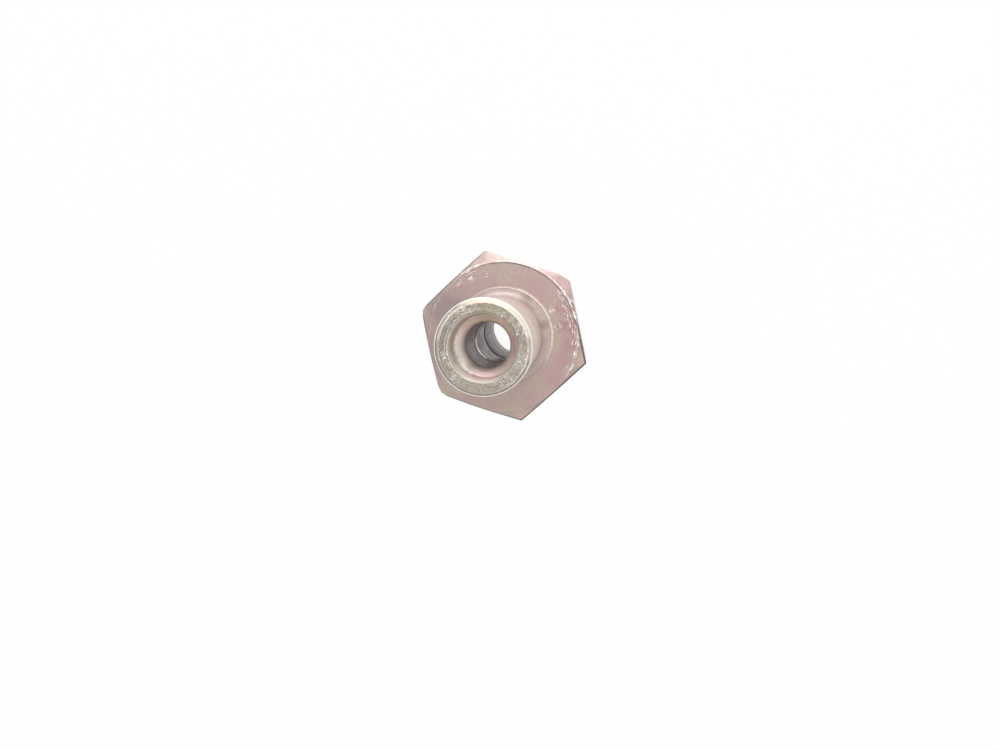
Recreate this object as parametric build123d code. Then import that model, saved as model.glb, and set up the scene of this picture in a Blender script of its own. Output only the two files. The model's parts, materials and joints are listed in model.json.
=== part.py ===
"""Retaining nut turned from hexagon bar: a long hexagon with a plain spigot, bored right through.

Frame: origin at the centre of the hexagon's back face, +Z along the spigot, corners of the
hexagon on the X axis. All lengths are in millimetres.
"""

import os
from math import cos, radians, tan

from build123d import *

# Hexagon
ACROSS_FLATS = 17.0
HEX_HEIGHT = 24.0
FRONT_FACE_DIAMETER = 16.6  # flat face that the spigot stands on
BACK_FACE_DIAMETER = 16.2
CORNER_CHAMFER_ANGLE = 30.0  # from the plane of the face

# Spigot
SPIGOT_DIAMETER = 8.8
SPIGOT_LENGTH = 18.4  # from the hexagon's front face
ROOT_FILLET_RADIUS = 1.1
END_BEVEL_WIDTH = 0.5  # across the radius
END_BEVEL_ANGLE = 20.0  # from the plane of the end face
END_EDGE_RADIUS = 0.15

# Counterbore in the spigot's end
COUNTERBORE_DIAMETER = 6.0
COUNTERBORE_DEPTH = 2.5
MOUTH_CHAMFER = 0.15
COUNTERBORE_FLOOR_ANGLE = 118.0  # included angle of the cone down to the throat

# Throat between the counterbore and the rear bore
THROAT_DIAMETER = 4.3
THROAT_LIP_RADIUS = 0.4

# Rear bore, at the minor diameter of its M8 x 1.25 thread
REAR_BORE_DIAMETER = 6.8
REAR_BORE_DEPTH = 27.8  # from the back face to where the drill point starts
DRILL_POINT_ANGLE = 118.0
THREAD_LENGTH = 12.0  # from the back face to the relief groove
LEAD_IN_DIAMETER = 8.4
LEAD_IN_ANGLE = 90.0  # included angle

# Relief groove at the inner end of the thread
RELIEF_DIAMETER = 8.3
RELIEF_WIDTH = 1.4
RELIEF_CORNER_RADIUS = 0.4

SHARP = 0.0  # corner radius of an edge that is left sharp
TOOL_OVERRUN = 2.0  # how far cutting shapes run past the faces that they cut


def cone_height(radius_step, included_angle):
    """Axial length of a cone that changes radius by radius_step."""
    return radius_step / tan(radians(included_angle / 2))


def revolved(points, corner_radii):
    """Solid turned about Z from an (r, z) outline, whose inner corners have the given radii."""
    path = FilletPolyline(*points, radius=corner_radii)
    outline = make_face([path, Line(path @ 1, path @ 0)])
    return revolve(Plane.XZ * outline, axis=Axis.Z)


def turned_envelope():
    """What the lathe leaves of the bar: both chamfered ends of the hexagon, and the spigot."""
    bar_radius = ACROSS_FLATS / 2 / cos(radians(30)) + TOOL_OVERRUN
    slope = tan(radians(CORNER_CHAMFER_ANGLE))
    back_drop = (bar_radius - BACK_FACE_DIAMETER / 2) * slope
    front_drop = (bar_radius - FRONT_FACE_DIAMETER / 2) * slope
    spigot_radius = SPIGOT_DIAMETER / 2
    top = HEX_HEIGHT + SPIGOT_LENGTH
    bevel_drop = END_BEVEL_WIDTH * tan(radians(END_BEVEL_ANGLE))
    points = [
        (0, 0),
        (BACK_FACE_DIAMETER / 2, 0),
        (bar_radius, back_drop),
        (bar_radius, HEX_HEIGHT - front_drop),
        (FRONT_FACE_DIAMETER / 2, HEX_HEIGHT),
        (spigot_radius, HEX_HEIGHT),
        (spigot_radius, top - bevel_drop),
        (spigot_radius - END_BEVEL_WIDTH, top),
        (0, top),
    ]
    radii = [SHARP, SHARP, SHARP, SHARP, ROOT_FILLET_RADIUS, END_EDGE_RADIUS, SHARP]
    return revolved(points, radii)


def hexagon_bar():
    """Hexagon bar as long as the whole nut."""
    section = RegularPolygon(radius=ACROSS_FLATS / 2, side_count=6, major_radius=False)
    return extrude(section, amount=HEX_HEIGHT + SPIGOT_LENGTH)


def front_bore():
    """Counterbore with its broken edge and coned floor, and the throat below it."""
    top = HEX_HEIGHT + SPIGOT_LENGTH
    wall = COUNTERBORE_DIAMETER / 2
    throat = THROAT_DIAMETER / 2
    mouth = wall + MOUTH_CHAMFER
    floor = top - COUNTERBORE_DEPTH
    throat_top = floor - cone_height(wall - throat, COUNTERBORE_FLOOR_ANGLE)
    points = [
        (0, REAR_BORE_DEPTH),
        (throat, REAR_BORE_DEPTH),
        (throat, throat_top),
        (wall, floor),
        (wall, top - MOUTH_CHAMFER),
        (mouth, top),
        (mouth, top + TOOL_OVERRUN),
        (0, top + TOOL_OVERRUN),
    ]
    radii = [SHARP, THROAT_LIP_RADIUS, SHARP, SHARP, SHARP, SHARP]
    return revolved(points, radii)


def rear_bore():
    """Bore from the back face to the shoulder under the throat, with its lead-in chamfer."""
    bore = REAR_BORE_DIAMETER / 2
    lead_in = LEAD_IN_DIAMETER / 2
    throat = THROAT_DIAMETER / 2
    shoulder_height = cone_height(bore - throat, DRILL_POINT_ANGLE)
    points = [
        (0, -TOOL_OVERRUN),
        (lead_in, -TOOL_OVERRUN),
        (lead_in, 0),
        (bore, cone_height(lead_in - bore, LEAD_IN_ANGLE)),
        (bore, REAR_BORE_DEPTH),
        (throat, REAR_BORE_DEPTH + shoulder_height),
        (0, REAR_BORE_DEPTH + shoulder_height),
    ]
    return revolved(points, [SHARP] * (len(points) - 2))


def relief_groove():
    """Groove that the thread runs out into, with rounded corners at its bottom."""
    inner = REAR_BORE_DIAMETER / 2 - TOOL_OVERRUN
    outer = RELIEF_DIAMETER / 2
    points = [
        (inner, THREAD_LENGTH),
        (outer, THREAD_LENGTH),
        (outer, THREAD_LENGTH + RELIEF_WIDTH),
        (inner, THREAD_LENGTH + RELIEF_WIDTH),
    ]
    return revolved(points, [RELIEF_CORNER_RADIUS, RELIEF_CORNER_RADIUS])


def retaining_nut():
    """The finished nut as one solid."""
    blank = turned_envelope() & hexagon_bar()
    return blank - front_bore() - rear_bore() - relief_groove()


def write_part(node, shape):
    """Write one node's STEP file and print its size."""
    os.makedirs("parts", exist_ok=True)
    shape.label = node
    export_step(shape, os.path.join("parts", node + ".step"))
    print(node, "volume", round(shape.volume, 1), "mm3, size", shape.bounding_box().size)


write_part("retaining_nut", retaining_nut())
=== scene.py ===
"""Retaining nut: a turned and plated long hexagon nut with a spigot, on a plain studio stage."""

import json
from functools import partial
from math import atan2, ceil, cos, degrees, pi, radians, sin, tan

import bmesh
import bpy
from mathutils import Matrix, Vector


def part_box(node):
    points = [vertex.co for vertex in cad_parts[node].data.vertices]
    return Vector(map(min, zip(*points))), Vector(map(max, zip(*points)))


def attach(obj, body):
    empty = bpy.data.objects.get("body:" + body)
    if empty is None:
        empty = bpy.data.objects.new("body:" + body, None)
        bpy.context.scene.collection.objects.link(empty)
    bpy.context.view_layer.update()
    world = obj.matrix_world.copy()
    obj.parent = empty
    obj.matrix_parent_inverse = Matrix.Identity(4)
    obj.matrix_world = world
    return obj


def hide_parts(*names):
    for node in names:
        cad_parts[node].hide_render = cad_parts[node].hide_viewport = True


bl_info = {
    "name": "Retaining nut",
    "version": (1, 0, 0),
    "blender": (4, 5, 0),
    "location": "View3D > Sidebar > Nut",
    "description": "Models a plated retaining nut round its packed frame, and its stage",
    "category": "Object",
}

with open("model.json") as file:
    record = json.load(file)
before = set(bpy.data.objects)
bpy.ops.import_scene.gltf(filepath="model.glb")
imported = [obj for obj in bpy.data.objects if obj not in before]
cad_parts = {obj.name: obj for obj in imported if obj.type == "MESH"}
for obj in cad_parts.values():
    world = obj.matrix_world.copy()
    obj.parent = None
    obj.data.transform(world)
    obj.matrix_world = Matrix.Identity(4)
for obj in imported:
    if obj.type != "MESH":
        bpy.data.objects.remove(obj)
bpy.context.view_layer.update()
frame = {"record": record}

NODE = "retaining_nut"
MM = 0.001
NUT_LOW, NUT_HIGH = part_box(NODE)
MOUNTS = {mount["name"]: mount for mount in frame["record"]["mounts"]}


def mount_size(name, key="r_mm"):
    """The wall radius, or another size, of a round mount of the frame, in metres."""
    return MOUNTS[name]["dims"][key] * MM


def mount_height(name):
    """Height of a mount's point above the nut's back face, in metres."""
    return MOUNTS[name]["pos_m"][2]


def number(name, description, default, **limits):
    """A number as a property."""
    return bpy.props.FloatProperty(name=name, description=description, default=default, **limits)


length = partial(number, min=0.0, unit="LENGTH", precision=5)
amount = partial(number, min=0.0, max=1.0)


def angle(name, description, default):
    """An angle as a property; default is in degrees."""
    return number(name, description, radians(default), subtype="ANGLE")


def colour(name, description, *default):
    """A linear colour as a property."""
    return bpy.props.FloatVectorProperty(
        name=name, description=description, default=default, min=0.0, max=1.0, subtype="COLOR"
    )


CHAMBER_LENGTH = mount_size("rear_chamber", "length_mm")
CHAMBER_TOP = mount_height("rear_chamber") + CHAMBER_LENGTH / 2
BAR_ALLOWANCE = 0.2 * MM


class NutSizes(bpy.types.PropertyGroup):
    """Sizes of the turned and milled nut."""

    across_flats: length("Across flats", "Width of the hexagon", NUT_HIGH.y - NUT_LOW.y)
    total_height: length("Height", "From the back face to the spigot's end", NUT_HIGH.z)
    hex_height: length("Hexagon height", "Up to the front face", mount_height("front_seat"))
    bar_radius: length("Bar radius", "Blank before the flats are cut", NUT_HIGH.x + BAR_ALLOWANCE)
    front_face_radius: length("Front face radius", "Flat face round the spigot", 8.3 * MM)
    back_face_radius: length("Back face radius", "Flat face that the nut stands on", 8.1 * MM)
    corner_chamfer: angle("Corner chamfer", "Slope of the cut corners from the face", 30.0)
    spigot_radius: length("Spigot radius", "Outside of the spigot", mount_size("spigot"))
    root_fillet: length("Root fillet", "Where the spigot meets the hexagon", 0.95 * MM)
    root_ring_radius: length("Root ring radius", "Fine raised ring round the root", 5.46 * MM)
    end_bevel_width: length("End bevel", "Bevel of the spigot's end, across the radius", 0.5 * MM)
    end_bevel_slope: angle("End bevel slope", "Slope of that bevel from the end face", 20.0)
    counterbore_radius: length("Counterbore radius", "Wide mouth", mount_size("counterbore"))
    counterbore_depth: length("Counterbore depth", "Down to where its floor starts", 2.5 * MM)
    mouth_chamfer: length("Mouth chamfer", "Broken edge of the counterbore", 0.15 * MM)
    throat_radius: length("Throat radius", "Narrow bore", mount_size("throat"))
    glint_height: length("Throat step height", "From the back face to that step", 31.0 * MM)
    glint_step: length("Throat step", "Fine step that the drill left in the throat", 0.12 * MM)
    bore_radius: length("Rear bore radius", "Bore and crest of the thread", mount_size("thread"))
    bore_depth: length("Rear bore depth", "From the back face to the shoulder", CHAMBER_TOP)
    drill_point: angle("Drill point", "Included angle of both coned floors", 118.0)
    relief_radius: length("Relief radius", "Bottom of the groove behind the thread", 4.15 * MM)
    relief_width: length("Relief width", "Width of that groove", 1.4 * MM)
    lead_in_radius: length("Lead-in radius", "Mouth of the thread at the back face", 4.2 * MM)
    thread_radius: length("Thread root radius", "Radius that the thread is cut to", 4.0 * MM)
    thread_pitch: length("Thread pitch", "Advance of the thread in one turn", 1.25 * MM)


FLAT_BEARINGS = range(30, 360, 60)


def facing(bearing):
    """Level direction at a bearing in degrees."""
    side = radians(bearing)
    return Vector((cos(side), sin(side), 0))


def placed_at(bearing, radius, height):
    """Point at a bearing in degrees, with its radius and height in metres."""
    side = radians(bearing)
    return Vector((radius * cos(side), radius * sin(side), height))


def corner(radius, height, rounding=0.0):
    """One corner of the lathe outline: its place and the radius that it is rounded to."""
    return Vector((radius, height)), rounding


def cone_height(radius_step, included_angle):
    """Axial length of a cone that changes radius by radius_step."""
    return radius_step / tan(included_angle / 2)


RING_HALF = 0.07 * MM
RING_RISE = 0.03 * MM
STEP_RISE = 0.02 * MM
THROAT_EDGE = 37.6 * MM


def lathe_corners(size):
    """The nut's section as a closed loop: out along the back, up the outside, down the bore."""
    slope, bevel_slope = tan(size.corner_chamfer), tan(size.end_bevel_slope)
    back_drop = (size.bar_radius - size.back_face_radius) * slope
    front_drop = (size.bar_radius - size.front_face_radius) * slope
    face, top = size.hex_height, size.total_height
    ring, wall = size.root_ring_radius, size.counterbore_radius
    throat, step = size.throat_radius, size.throat_radius - size.glint_step
    floor = top - size.counterbore_depth
    throat_top = floor - cone_height(wall - throat, size.drill_point)
    shoulder = size.bore_depth + cone_height(size.bore_radius - throat, size.drill_point)
    thread_end = size.bore_depth - CHAMBER_LENGTH - size.relief_width
    return [
        corner(size.lead_in_radius, 0.0, 0.08 * MM),
        corner(size.back_face_radius, 0.0, 0.25 * MM),
        corner(size.bar_radius, back_drop),
        corner(size.bar_radius, face - front_drop),
        corner(size.front_face_radius, face, 0.5 * MM),
        corner(ring + RING_HALF, face),
        corner(ring, face + RING_RISE),
        corner(ring - RING_HALF, face),
        corner(size.spigot_radius, face, size.root_fillet),
        corner(size.spigot_radius, top - size.end_bevel_width * bevel_slope, 0.15 * MM),
        corner(size.spigot_radius - size.end_bevel_width, top, 0.3 * MM),
        corner(wall + size.mouth_chamfer, top, 0.1 * MM),
        corner(wall, top - size.mouth_chamfer, 0.1 * MM),
        corner(wall, floor, 0.35 * MM),
        corner(throat, throat_top, 0.85 * MM),
        corner(throat, THROAT_EDGE),
        corner(throat, size.glint_height, 0.01 * MM),
        corner(step, size.glint_height - STEP_RISE, 0.02 * MM),
        corner(step, shoulder, 0.06 * MM),
        corner(size.bore_radius, size.bore_depth, 0.2 * MM),
        corner(size.bore_radius, thread_end + size.relief_width, 0.08 * MM),
        corner(size.relief_radius, thread_end + size.relief_width, 0.4 * MM),
        corner(size.relief_radius, thread_end, 0.4 * MM),
        corner(size.bore_radius, thread_end, 0.05 * MM),
        corner(size.bore_radius, size.lead_in_radius - size.bore_radius, 0.05 * MM),
    ]


ARC_STEP = radians(11.0)
STRAIGHT_STEP = 1.1 * MM
FINE_STEP = 0.15 * MM
HOLDING_STEP = 0.04 * MM
NEARLY_STRAIGHT = 0.2
FINE_FROM = 0.9


def rounded(before, here, after, radius):
    """Points of the arc that rounds the corner at here."""
    if radius == 0.0:
        return [here]
    inward, outward = (here - before).normalized(), (after - here).normalized()
    turn = inward.angle_signed(outward)
    reach = radius * tan(abs(turn) / 2)
    start = here - inward * reach
    side = 1.0 if turn < 0 else -1.0
    centre = start + Vector((-inward.y, inward.x)) * radius * side
    steps = max(2, ceil(abs(turn) / ARC_STEP))
    arm = start - centre
    return [centre + Matrix.Rotation(-turn * i / steps, 2) @ arm for i in range(steps + 1)]


def along(start, end, held, size):
    """Even points between two corners, and one close to each rounded corner to keep it crisp."""
    run = end - start
    if run.length < 4 * HOLDING_STEP:
        return []
    near = start + run.normalized() * HOLDING_STEP if held[0] else start
    far = end - run.normalized() * HOLDING_STEP if held[1] else end
    level = abs(run.y) < NEARLY_STRAIGHT * abs(run.x)
    upright = abs(run.x) < NEARLY_STRAIGHT * abs(run.y)
    if level and start.y > size.hex_height * FINE_FROM:
        step = FINE_STEP
    else:
        step = STRAIGHT_STEP if level or upright else run.length
    pieces = max(1, ceil((far - near).length / step))
    points = [near.lerp(far, i / pieces) for i in range(pieces + 1)]
    return points[0 if held[0] else 1 : len(points) if held[1] else -1]


def lathe_outline(size):
    """All points of the closed lathe outline, with arcs at its corners and points on its runs."""
    corners = lathe_corners(size)
    count = len(corners)
    arcs = [
        rounded(corners[i - 1][0], here, corners[(i + 1) % count][0], radius)
        for i, (here, radius) in enumerate(corners)
    ]
    outline = []
    for i, arc in enumerate(arcs):
        following = (i + 1) % count
        held = (corners[i][1] > 0, corners[following][1] > 0)
        outline.extend(arc)
        outline.extend(along(arc[-1], arcs[following][0], held, size))
    return outline


COLUMNS = 336
MERGE_GAP = 0.002 * MM
CUT_GAP = 0.0005 * MM
FLAT_AREA = (3 * MM) ** 2
UPRIGHT_SLACK, BEARING_SLACK = 0.001, 0.01
EDGE_ROUNDING, ROUNDING_STEPS = 0.06 * MM, 3
HOLDING_BAND = 0.2 * MM


def start_piece():
    """Leaves every object deselected, so that the next primitive is worked on alone."""
    if bpy.context.object and bpy.context.object.mode != "OBJECT":
        bpy.ops.object.mode_set(mode="OBJECT")
    bpy.ops.object.select_all(action="DESELECT")


def face_outwards():
    """Turns every normal of the edited mesh outwards."""
    bpy.ops.mesh.select_all(action="SELECT")
    bpy.ops.mesh.normals_make_consistent(inside=False)


def turn_blank(size):
    """The round blank: one vertex drawn along the outline, then spun about the axis."""
    start_piece()
    outline = lathe_outline(size)
    bpy.ops.mesh.primitive_plane_add(size=MM, location=(outline[0].x, 0.0, outline[0].y))
    blank = bpy.context.object
    blank.name = "nut_skin"
    bpy.ops.object.transform_apply(location=True, rotation=True, scale=True)
    bpy.ops.object.mode_set(mode="EDIT")
    bpy.ops.mesh.select_all(action="SELECT")
    bpy.ops.mesh.merge(type="CENTER")
    for here, there in zip(outline, outline[1:]):
        step = (there.x - here.x, 0.0, there.y - here.y)
        bpy.ops.mesh.extrude_region_move(TRANSFORM_OT_translate={"value": step})
    bpy.ops.mesh.select_mode(type="VERT")
    mesh = bmesh.from_edit_mesh(blank.data)
    for vertex in mesh.verts:
        vertex.select = len(vertex.link_edges) == 1
    bmesh.update_edit_mesh(blank.data)
    bpy.ops.mesh.edge_face_add()
    bpy.ops.mesh.select_all(action="SELECT")
    bpy.ops.mesh.spin(steps=COLUMNS, angle=2 * pi, center=(0, 0, 0), axis=(0, 0, 1))
    bpy.ops.mesh.select_all(action="SELECT")
    bpy.ops.mesh.remove_doubles(threshold=MERGE_GAP)
    face_outwards()
    return blank


def mill_flats(size):
    """Six cuts across the blank, each filled with one flat face."""
    for bearing in FLAT_BEARINGS:
        outwards = facing(bearing)
        bpy.ops.mesh.select_all(action="SELECT")
        bpy.ops.mesh.bisect(
            plane_co=outwards * size.across_flats / 2,
            plane_no=outwards,
            use_fill=True,
            clear_outer=True,
            threshold=CUT_GAP,
        )
    face_outwards()


def is_flat(face):
    """True for one of the hexagon's six flats."""
    off_bearing = abs(degrees(atan2(face.normal.y, face.normal.x)) % 60 - FLAT_BEARINGS[0])
    upright = abs(face.normal.z) < UPRIGHT_SLACK
    return upright and off_bearing < BEARING_SLACK and face.calc_area() > FLAT_AREA


def ease_edges(blank):
    """Softens the edges that the flats left, and rings each flat with a narrow holding band."""
    bpy.ops.mesh.select_mode(type="EDGE")
    bpy.ops.mesh.select_all(action="DESELECT")
    mesh = bmesh.from_edit_mesh(blank.data)
    for face in filter(is_flat, mesh.faces):
        for edge in face.edges:
            edge.select = True
    bmesh.update_edit_mesh(blank.data)
    bpy.ops.mesh.bevel(
        offset=EDGE_ROUNDING,
        offset_type="WIDTH",
        segments=ROUNDING_STEPS,
        profile=0.5,
        affect="EDGES",
        clamp_overlap=False,
    )
    bpy.ops.mesh.select_mode(type="FACE")
    bpy.ops.mesh.select_all(action="DESELECT")
    mesh = bmesh.from_edit_mesh(blank.data)
    for face in mesh.faces:
        face.select = is_flat(face)
    bmesh.update_edit_mesh(blank.data)
    bpy.ops.mesh.inset(thickness=HOLDING_BAND, depth=0.0)


TAP_OVERLAP = 0.2 * MM
CREST_SHARE = 1 / 16
FLANK_SLOPE = tan(radians(30))
TAP_TURNS = 10


def thread_tap(size):
    """The tap: a trapezoid section swept along the helix, closed at both ends."""
    start_piece()
    half_pitch = size.thread_pitch / 2
    inner = size.bore_radius - TAP_OVERLAP
    crest_half = size.thread_pitch * CREST_SHARE
    root_half = crest_half + (size.thread_radius - inner) * FLANK_SLOPE
    middle = (inner + size.thread_radius) / 2
    place = (middle, 0, -half_pitch)
    bpy.ops.mesh.primitive_plane_add(size=2.0, location=place, rotation=(pi / 2, 0, 0))
    tap = bpy.context.object
    bpy.ops.object.mode_set(mode="EDIT")
    bpy.ops.mesh.delete(type="ONLY_FACE")
    bpy.ops.object.mode_set(mode="OBJECT")
    tap.scale = ((size.thread_radius - inner) / 2, root_half, 1.0)
    bpy.ops.object.transform_apply(location=True, rotation=True, scale=True)
    for vertex in tap.data.vertices:
        if vertex.co.x > middle:
            above = vertex.co.z > -half_pitch
            vertex.co.z = -half_pitch + (crest_half if above else -crest_half)
    screw = tap.modifiers.new("Helix", "SCREW")
    screw.axis = "Z"
    screw.steps = screw.render_steps = COLUMNS // 2
    screw.iterations = TAP_TURNS
    screw.screw_offset = size.thread_pitch
    screw.use_merge_vertices = False
    bpy.ops.object.modifier_apply(modifier=screw.name)
    bpy.ops.object.mode_set(mode="EDIT")
    bpy.ops.mesh.select_mode(type="EDGE")
    bpy.ops.mesh.select_all(action="DESELECT")
    bpy.ops.mesh.select_non_manifold()
    bpy.ops.mesh.edge_face_add()
    face_outwards()
    bpy.ops.object.mode_set(mode="OBJECT")
    return tap


def cut_thread(blank, size):
    """Cuts the thread in the rear bore with the tap, which is then put away."""
    tap = thread_tap(size)
    bpy.ops.object.select_all(action="DESELECT")
    blank.select_set(True)
    bpy.context.view_layer.objects.active = blank
    cut = blank.modifiers.new("Thread", "BOOLEAN")
    cut.operation = "DIFFERENCE"
    cut.solver = "EXACT"
    cut.object = tap
    bpy.ops.object.modifier_apply(modifier=cut.name)
    bpy.data.objects.remove(tap)


# bearing, radius (only for dents), depth and reach
FACE_DENTS = (
    (75, 7.7, 0.06, 0.35), (83, 7.5, 0.05, 0.3), (64, 7.2, 0.04, 0.3), (114, 8.6, 0.05, 0.4),
    (-18, 7.9, 0.05, 0.3), (-27, 7.7, 0.06, 0.3), (-36, 8.0, 0.05, 0.3),
    (-13, 6.2, 0.05, 0.22), (-31, 6.3, 0.05, 0.25), (196, 8.4, 0.04, 0.4),
)
END_DENTS = (
    (73, 3.8, 0.07, 0.3), (84, 3.6, 0.05, 0.25), (148, 3.45, 0.06, 0.35), (190, 3.75, 0.05, 0.3),
    (265, 3.6, 0.05, 0.25), (300, 3.7, 0.05, 0.3), (350, 3.8, 0.05, 0.25),
)
BLUNT_CORNERS = ((0, 0.22, 1.2), (180, 0.16, 1.0), (120, 0.14, 0.9))


def press(mesh, place, push, reach):
    """Pushes the metal round one point, fading out over reach; all in metres."""
    nearest = min(mesh.verts, key=lambda vertex: (vertex.co - place).length_squared)
    bpy.ops.mesh.select_all(action="DESELECT")
    nearest.select = True
    bpy.ops.transform.translate(
        value=push,
        use_proportional_edit=True,
        proportional_edit_falloff="SMOOTH",
        proportional_size=reach,
    )


def knock_about(skin, size):
    """Dents and blunted corners, by bearing in degrees and by lengths in millimetres."""
    bpy.ops.mesh.select_mode(type="VERT")
    mesh = bmesh.from_edit_mesh(skin.data)
    for dents, height in ((FACE_DENTS, size.hex_height), (END_DENTS, size.total_height)):
        for bearing, radius, depth, reach in dents:
            press(mesh, placed_at(bearing, radius * MM, height), (0, 0, -depth * MM), reach * MM)
    corner_radius = size.across_flats / 2 / cos(radians(30))
    drop = (corner_radius - size.front_face_radius) * tan(size.corner_chamfer)
    for bearing, depth, reach in BLUNT_CORNERS:
        outwards = facing(bearing)
        place = outwards * corner_radius + Vector((0, 0, size.hex_height - drop))
        press(mesh, place, -outwards * depth * MM, reach * MM)
    bpy.ops.mesh.select_all(action="SELECT")


SMOOTH_BELOW = radians(32)


def shape_nut(size):
    """Turns, mills and taps the nut, and gives it the dents of its use."""
    skin = turn_blank(size)
    mill_flats(size)
    ease_edges(skin)
    knock_about(skin, size)
    bpy.ops.object.mode_set(mode="OBJECT")
    cut_thread(skin, size)
    bpy.ops.object.shade_smooth_by_angle(angle=SMOOTH_BELOW)
    return skin


def add_node(tree, kind, sockets=None, **settings):
    """Adds a node, sets its own settings, and fills its sockets with values or with links."""
    node = tree.nodes.new(kind)
    for name, value in settings.items():
        setattr(node, name, value)
    for name, value in (sockets or {}).items():
        socket = node.inputs[name]
        if isinstance(value, bpy.types.NodeSocket):
            tree.links.new(value, socket)
        else:
            socket.default_value = value
    return node


def follow(kind, sockets, **settings):
    """Adds a node to the tree that its first linked socket comes from, and returns its outputs."""
    source = next(value for value in sockets.values() if isinstance(value, bpy.types.NodeSocket))
    return add_node(source.id_data, kind, sockets, **settings).outputs


def sum_of(first, second=0.0, operation="ADD", clamp=False):
    """Output of a Math node that works on two values or sockets."""
    sockets = {0: first, 1: second}
    return follow("ShaderNodeMath", sockets, operation=operation, use_clamp=clamp)[0]


less = partial(sum_of, operation="SUBTRACT")
times = partial(sum_of, operation="MULTIPLY")
larger = partial(sum_of, operation="MAXIMUM")


def diagonal(first, second):
    """Length of the diagonal over two values."""
    squares = sum_of(times(first, first), times(second, second))
    return sum_of(squares, 0.5, "POWER")


def vector_sum(first, second, operation="ADD", output="Vector"):
    """Output of a Vector Math node that works on two vectors."""
    return follow("ShaderNodeVectorMath", {0: first, 1: second}, operation=operation)[output]


def parts_of(vector):
    """X, Y and Z of a vector."""
    return follow("ShaderNodeSeparateXYZ", {0: vector})


def stepped(value, low, high, out_low=0.0, out_high=1.0, shape="SMOOTHSTEP"):
    """Output that goes from out_low to out_high while value goes from low to high."""
    sockets = {"Value": value, "From Min": low, "From Max": high}
    sockets |= {"To Min": out_low, "To Max": out_high}
    return follow("ShaderNodeMapRange", sockets, interpolation_type=shape)["Result"]


scaled = partial(stepped, shape="LINEAR")


def noise(vector, **sockets):
    """Value of a noise texture."""
    return follow("ShaderNodeTexNoise", {"Vector": vector, **sockets})["Fac"]


def blended(factor, first, second, mode="MIX"):
    """Colour output of a Mix node."""
    sockets = {0: factor, 6: first, 7: second}
    return follow("ShaderNodeMix", sockets, data_type="RGBA", blend_type=mode)[2]


SOCKET_KINDS = {float: "NodeSocketFloat", Vector: "NodeSocketVector", tuple: "NodeSocketColor"}


def new_group(name, inputs):
    """A shader node group that works on a Vector and on inputs, which are given by defaults."""
    tree = bpy.data.node_groups.new(name, "ShaderNodeTree")
    for label, default in {"Vector": Vector(), **inputs}.items():
        kind = SOCKET_KINDS[type(default)]
        socket = tree.interface.new_socket(name=label, in_out="INPUT", socket_type=kind)
        socket.default_value = default
    return tree, tree.nodes.new("NodeGroupInput").outputs


def closed(tree, **results):
    """Gives a group its outputs, and returns it."""
    for label in results:
        kind = "NodeSocketColor" if label == "Color" else "NodeSocketFloat"
        tree.interface.new_socket(name=label, in_out="OUTPUT", socket_type=kind)
    add_node(tree, "NodeGroupOutput", results)
    return tree


WHITE = (1.0, 1.0, 1.0, 1.0)
ROSE_BAND = (0.44, 0.62)
STRAW_BAND = (0.46, 0.64)
STRAW_SHIFT = (0.31, 0.17, 0.05)
MIDDLE_BAND = (0.3, 0.7)
DRAWN_BAND = (0.35, 0.65)
DRAWN_STRETCH = (1, 1, 0.012)
SCRATCH_LAYERS = ((12, 0.0), (64, 0.4), (128, 0.9))
SCRATCH_STRETCH = (1, 12, 5)
SCRATCH_COVER = (0.78, 0.58)
SCRATCH_EDGE = 0.05
DASH_RADIUS = 5 * MM
DASH_STRETCH = 4.5
DASH_COVER = (0.75, 0.5)
DASH_EDGE = 0.07
KNOCK_SIZE = 0.9
KNOCK_EDGE = 0.12
PAINT_WEIGHT = 0.9
PAINT_BAND = (0.85, 1.35)
SIDE_EDGE = 0.15
RING_CORE = 0.3
GAP_LOW, GAP_RISE, GAP_EDGE = 0.15, 0.45, 0.25
CLOUD_WAVE = 0.7
CLOUD_BAND = (0.6, 1.35)
MILLED_BAND = (0.2, 0.4)


def plating_tint_group():
    """Cloudy change of the plating's colour between three tints, with a fine mottle."""
    amounts = {"Cloud Scale": 260.0, "Rose Amount": 0.7, "Straw Amount": 0.6, "Mottle": 0.1}
    tints = {"Main": WHITE, "Rose": WHITE, "Straw": WHITE}
    tree, given = new_group("Plating tint", tints | amounts)
    vector, mottle = given["Vector"], given["Mottle"]
    cloudy = {"Scale": given["Cloud Scale"], "Detail": 6.0, "Roughness": 0.62, "Distortion": 0.6}
    rose = stepped(noise(vector, **cloudy), *ROSE_BAND)
    straw = stepped(noise(vector_sum(vector, STRAW_SHIFT), **cloudy), *STRAW_BAND)
    tint = blended(times(rose, given["Rose Amount"]), given["Main"], given["Rose"])
    tint = blended(times(straw, given["Straw Amount"]), tint, given["Straw"])
    grain = noise(vector, Scale=3200.0, Detail=4.0, Roughness=0.6)
    shade = scaled(grain, *MIDDLE_BAND, less(1.0, mottle), sum_of(1.0, mottle))
    return closed(tree, Color=blended(1.0, tint, shade, "MULTIPLY"))


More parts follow.
